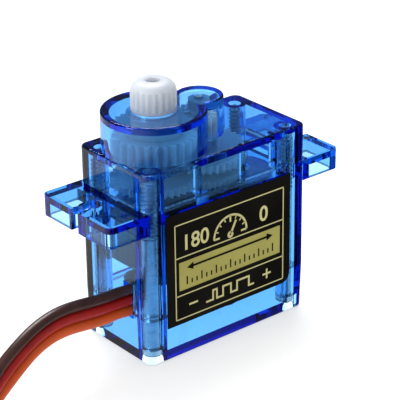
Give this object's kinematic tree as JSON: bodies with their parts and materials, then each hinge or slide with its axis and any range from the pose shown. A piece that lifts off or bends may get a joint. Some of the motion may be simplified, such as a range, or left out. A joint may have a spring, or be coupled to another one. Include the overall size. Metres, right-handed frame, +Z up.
{
  "type": "hobby servo motor",
  "caption": "Micro hobby servo motor with a clear blue case, slotted mounting ears, a splined output shaft, a reduction gear train and a flat lead that ends in a connector.",
  "frame": {"origin": "on the output shaft's axis, at the flat underside of the case", "axes": "+Z up along the output shaft, +X from the output end towards the motor end, label on the -Y side"},
  "size_m": [0.0547, 0.0597, 0.0309],
  "materials": {
    "clear_blue": "clear transparent blue, polished",
    "screw_steel": "dark nickel plate",
    "pin_steel": "ground",
    "can_steel": "nickel plated, satin",
    "label_print": "black film with gold print",
    "black_resin": "moulded",
    "brown_laminate": "phenolic laminate",
    "carbon_film": "carbon film",
    "tinned_metal": "tinned",
    "magnet": "ferrite",
    "white_nylon": "satin",
    "spring_brass": "bright",
    "bush_bronze": "sintered",
    "green_laminate": "solder mask",
    "tan_ceramic": "ceramic",
    "red_sleeve": "glossy insulation",
    "black_sleeve": "glossy insulation",
    "brown_sleeve": "glossy insulation",
    "orange_sleeve": "glossy insulation",
    "black_housing": "moulded",
    "contact_metal": "gold flash",
    "copper": "bare and enamelled copper"
  },
  "bodies": {
    "case": {"top_cover": "clear_blue", "main_case": "clear_blue", "bottom_cover": "clear_blue", "case_screws": "screw_steel", "label": "label_print", "idler_pin": "pin_steel", "sensor_body": "black_resin", "sensor_base": "brown_laminate", "sensor_track": "carbon_film", "sensor_terminals": "tinned_metal", "motor_can": "can_steel", "motor_magnets": "magnet", "motor_end_cap": "white_nylon", "motor_terminals": "tinned_metal", "motor_brushes": "spring_brass", "motor_front_bush": "bush_bronze", "motor_rear_bush": "bush_bronze", "circuit_board": "green_laminate", "control_chip": "black_resin", "driver_chip": "black_resin", "board_capacitors": "tan_ceramic", "board_resistors": "black_resin", "motor_red_lead": "red_sleeve", "motor_black_lead": "black_sleeve", "ground_wire": "brown_sleeve", "power_wire": "red_sleeve", "signal_wire": "orange_sleeve", "connector_housing": "black_housing", "connector_contacts": "contact_metal"},
    "output": {"output_gear": "white_nylon", "sensor_shaft": "white_nylon", "sensor_wiper": "white_nylon"},
    "first_gear": {"first_compound_gear": "white_nylon"},
    "second_gear": {"second_compound_gear": "white_nylon"},
    "third_gear": {"third_compound_gear": "white_nylon"},
    "rotor": {"motor_pinion": "spring_brass", "motor_shaft": "pin_steel", "armature_core": "can_steel", "armature_windings": "copper", "commutator": "copper"}
  },
  "joints": [
    {"name": "rotor_spin", "type": "hinge", "parent": "case", "child": "rotor", "pos_m": [0.0113, 0, 0.012], "axis": [0, 0, 1], "range_deg": [-6650, 6650]},
    {"name": "first_gear_spin", "type": "hinge", "parent": "case", "child": "first_gear", "pos_m": [0.0063, 0, 0.019], "axis": [0, 0, 1], "range_deg": [-1662.5, 1662.5]},
    {"name": "second_gear_spin", "type": "hinge", "parent": "case", "child": "second_gear", "pos_m": [0, 0, 0.0195], "axis": [0, 0, 1], "range_deg": [-712.5, 712.5]},
    {"name": "third_gear_spin", "type": "hinge", "parent": "case", "child": "third_gear", "pos_m": [0.0063, 0, 0.0215], "axis": [0, 0, 1], "range_deg": [-225, 225]},
    {"name": "output_spin", "type": "hinge", "parent": "case", "child": "output", "pos_m": [0, 0, 0.0235], "axis": [0, 0, 1], "range_deg": [-90, 90]}
  ],
  "couplings": [
    {"joint": "first_gear_spin", "follows": "rotor_spin", "ratio": -0.25},
    {"joint": "second_gear_spin", "follows": "rotor_spin", "ratio": 0.10714},
    {"joint": "third_gear_spin", "follows": "rotor_spin", "ratio": -0.033835},
    {"joint": "output_spin", "follows": "rotor_spin", "ratio": 0.013534}
  ]
}
